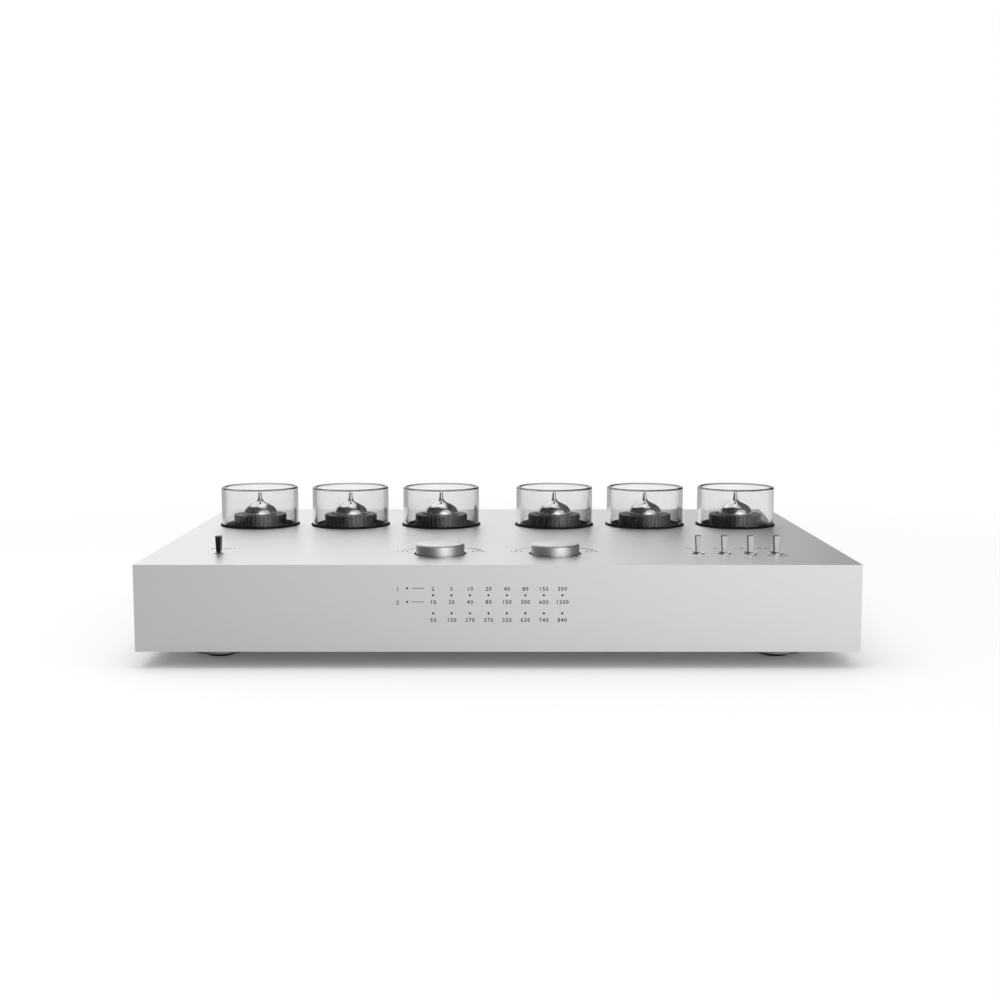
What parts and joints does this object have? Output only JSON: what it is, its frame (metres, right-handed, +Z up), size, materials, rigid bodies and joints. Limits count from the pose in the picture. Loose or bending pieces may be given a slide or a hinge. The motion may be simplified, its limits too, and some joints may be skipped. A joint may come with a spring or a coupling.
{
  "type": "phono preamplifier",
  "caption": "Flat brushed aluminium phono preamplifier with valves in open glass chimneys, rotary selectors and toggle switches on its top.",
  "frame": {"origin": "on the surface that the feet stand on, at the middle of the outline seen from above", "axes": "+X to the right seen from the front, +Y to the rear connectors, +Z up"},
  "size_m": [0.434, 0.296, 0.091],
  "materials": {
    "brushed_aluminium": "fine brushed, clear anodised",
    "panel_aluminium": "bead blasted, clear anodised",
    "knob_aluminium": "turned, satin",
    "block_aluminium": "as milled",
    "foot_aluminium": "turned, satin",
    "black_anodised": "matt black anodised",
    "seat_rubber": "smooth black",
    "foot_rubber": "matt",
    "chimney_glass": "clear, polished",
    "valve_glass": "clear glass, silvered inside the dome",
    "chrome": "polished",
    "black_lever": "gloss black",
    "steel": "zinc plated",
    "screw_black": "black oxide",
    "gold_plated": "gold plated",
    "inlet_plastic": "moulded, fine texture",
    "insulator_plastic": "white, smooth",
    "socket_ceramic": "glazed ceramic",
    "circuit_board": "solder-masked laminate",
    "capacitor_sleeve": "shrink sleeve",
    "lamp_lens": "clear resin",
    "coil_tape": "taped winding",
    "fuse_glass": "clear tube with metal caps"
  },
  "bodies": {
    "chassis": {"front_panel": "brushed_aluminium", "top_plate": "panel_aluminium", "side_panel_left": "panel_aluminium", "side_panel_right": "panel_aluminium", "rear_panel": "panel_aluminium", "bottom_plate": "panel_aluminium", "corner_blocks": "block_aluminium", "case_screws": "screw_black", "foot_discs": "foot_aluminium", "foot_pads": "foot_rubber", "valve_seats": "seat_rubber", "valve_sockets": "socket_ceramic", "valve_board": "circuit_board", "signal_board": "circuit_board", "supply_board": "circuit_board", "reservoir_capacitors": "capacitor_sleeve", "board_standoffs": "steel", "power_transformer": "coil_tape", "transformer_clamp": "steel", "display_board": "circuit_board", "indicator_lamps": "lamp_lens", "mains_inlet": "inlet_plastic", "mains_blades": "steel", "signal_sleeves": "gold_plated", "signal_insulators": "insulator_plastic", "ground_stud": "gold_plated", "rotary_switches": "steel", "toggle_switches": "steel", "toggle_bezels": "chrome"},
    "selector_left": {"knob_left": "knob_aluminium", "shaft_left": "steel"},
    "selector_right": {"knob_right": "knob_aluminium", "shaft_right": "steel"},
    "toggle_power": {"lever_power": "black_lever"},
    "toggle_1": {"lever_1": "chrome"},
    "toggle_2": {"lever_2": "chrome"},
    "toggle_3": {"lever_3": "chrome"},
    "toggle_4": {"lever_4": "chrome"},
    "chimney_body_1": {"chimney_1": "chimney_glass"},
    "valve_body_1": {"valve_1": "valve_glass", "damper_1": "black_anodised"},
    "chimney_body_2": {"chimney_2": "chimney_glass"},
    "valve_body_2": {"valve_2": "valve_glass", "damper_2": "black_anodised"},
    "chimney_body_3": {"chimney_3": "chimney_glass"},
    "valve_body_3": {"valve_3": "valve_glass", "damper_3": "black_anodised"},
    "chimney_body_4": {"chimney_4": "chimney_glass"},
    "valve_body_4": {"valve_4": "valve_glass", "damper_4": "black_anodised"},
    "chimney_body_5": {"chimney_5": "chimney_glass"},
    "valve_body_5": {"valve_5": "valve_glass", "damper_5": "black_anodised"},
    "chimney_body_6": {"chimney_6": "chimney_glass"},
    "valve_body_6": {"valve_6": "valve_glass", "damper_6": "black_anodised"},
    "fuse_holder": {"fuse_drawer": "inlet_plastic", "fuse": "fuse_glass"},
    "ground_clamp": {"ground_washer": "gold_plated"},
    "ground_thumb_nut": {"ground_nut": "gold_plated"}
  },
  "joints": [
    {"name": "selector_left_turn", "type": "hinge", "parent": "chassis", "child": "selector_left", "pos_m": [-0.036, -0.1025, 0.0631], "axis": [0, 0, 1], "range_deg": [0, 126]},
    {"name": "selector_right_turn", "type": "hinge", "parent": "chassis", "child": "selector_right", "pos_m": [0.036, -0.1025, 0.0631], "axis": [0, 0, 1], "range_deg": [0, 126]},
    {"name": "toggle_power_tip", "type": "hinge", "parent": "chassis", "child": "toggle_power", "pos_m": [-0.175, -0.1015, 0.0601], "axis": [0, 1, 0], "range_deg": [-12, 12]},
    {"name": "toggle_1_tip", "type": "hinge", "parent": "chassis", "child": "toggle_1", "pos_m": [0.1258, -0.1015, 0.0601], "axis": [0, 1, 0], "range_deg": [-12, 12]},
    {"name": "toggle_2_tip", "type": "hinge", "parent": "chassis", "child": "toggle_2", "pos_m": [0.14213, -0.1015, 0.0601], "axis": [0, 1, 0], "range_deg": [-12, 12]},
    {"name": "toggle_3_tip", "type": "hinge", "parent": "chassis", "child": "toggle_3", "pos_m": [0.15846, -0.1015, 0.0601], "axis": [0, 1, 0], "range_deg": [-12, 12]},
    {"name": "toggle_4_tip", "type": "hinge", "parent": "chassis", "child": "toggle_4", "pos_m": [0.17479, -0.1015, 0.0601], "axis": [0, 1, 0], "range_deg": [-12, 12]},
    {"name": "chimney_1_lift", "type": "slide", "parent": "chassis", "child": "chimney_body_1", "axis": [0, 0, 1], "range_m": [0, 0.03]},
    {"name": "valve_1_unplug", "type": "slide", "parent": "chassis", "child": "valve_body_1", "axis": [0, 0, 1], "range_m": [0, 0.065]},
    {"name": "chimney_2_lift", "type": "slide", "parent": "chassis", "child": "chimney_body_2", "axis": [0, 0, 1], "range_m": [0, 0.03]},
    {"name": "valve_2_unplug", "type": "slide", "parent": "chassis", "child": "valve_body_2", "axis": [0, 0, 1], "range_m": [0, 0.065]},
    {"name": "chimney_3_lift", "type": "slide", "parent": "chassis", "child": "chimney_body_3", "axis": [0, 0, 1], "range_m": [0, 0.03]},
    {"name": "valve_3_unplug", "type": "slide", "parent": "chassis", "child": "valve_body_3", "axis": [0, 0, 1], "range_m": [0, 0.065]},
    {"name": "chimney_4_lift", "type": "slide", "parent": "chassis", "child": "chimney_body_4", "axis": [0, 0, 1], "range_m": [0, 0.03]},
    {"name": "valve_4_unplug", "type": "slide", "parent": "chassis", "child": "valve_body_4", "axis": [0, 0, 1], "range_m": [0, 0.065]},
    {"name": "chimney_5_lift", "type": "slide", "parent": "chassis", "child": "chimney_body_5", "axis": [0, 0, 1], "range_m": [0, 0.03]},
    {"name": "valve_5_unplug", "type": "slide", "parent": "chassis", "child": "valve_body_5", "axis": [0, 0, 1], "range_m": [0, 0.065]},
    {"name": "chimney_6_lift", "type": "slide", "parent": "chassis", "child": "chimney_body_6", "axis": [0, 0, 1], "range_m": [0, 0.03]},
    {"name": "valve_6_unplug", "type": "slide", "parent": "chassis", "child": "valve_body_6", "axis": [0, 0, 1], "range_m": [0, 0.065]},
    {"name": "fuse_drawer_pull", "type": "slide", "parent": "chassis", "child": "fuse_holder", "axis": [0, 1, 0], "range_m": [0, 0.02]},
    {"name": "ground_washer_travel", "type": "slide", "parent": "chassis", "child": "ground_clamp", "axis": [0, 1, 0], "range_m": [0, 0.0021]},
    {"name": "ground_nut_turn", "type": "hinge", "parent": "ground_clamp", "child": "ground_thumb_nut", "pos_m": [0.024, 0.132, 0.0355], "axis": [0, 1, 0], "range_deg": [0, 1080]}
  ],
  "couplings": [
    {"joint": "ground_washer_travel", "follows": "ground_nut_turn", "m_per_rad": 0.00011141}
  ]
}
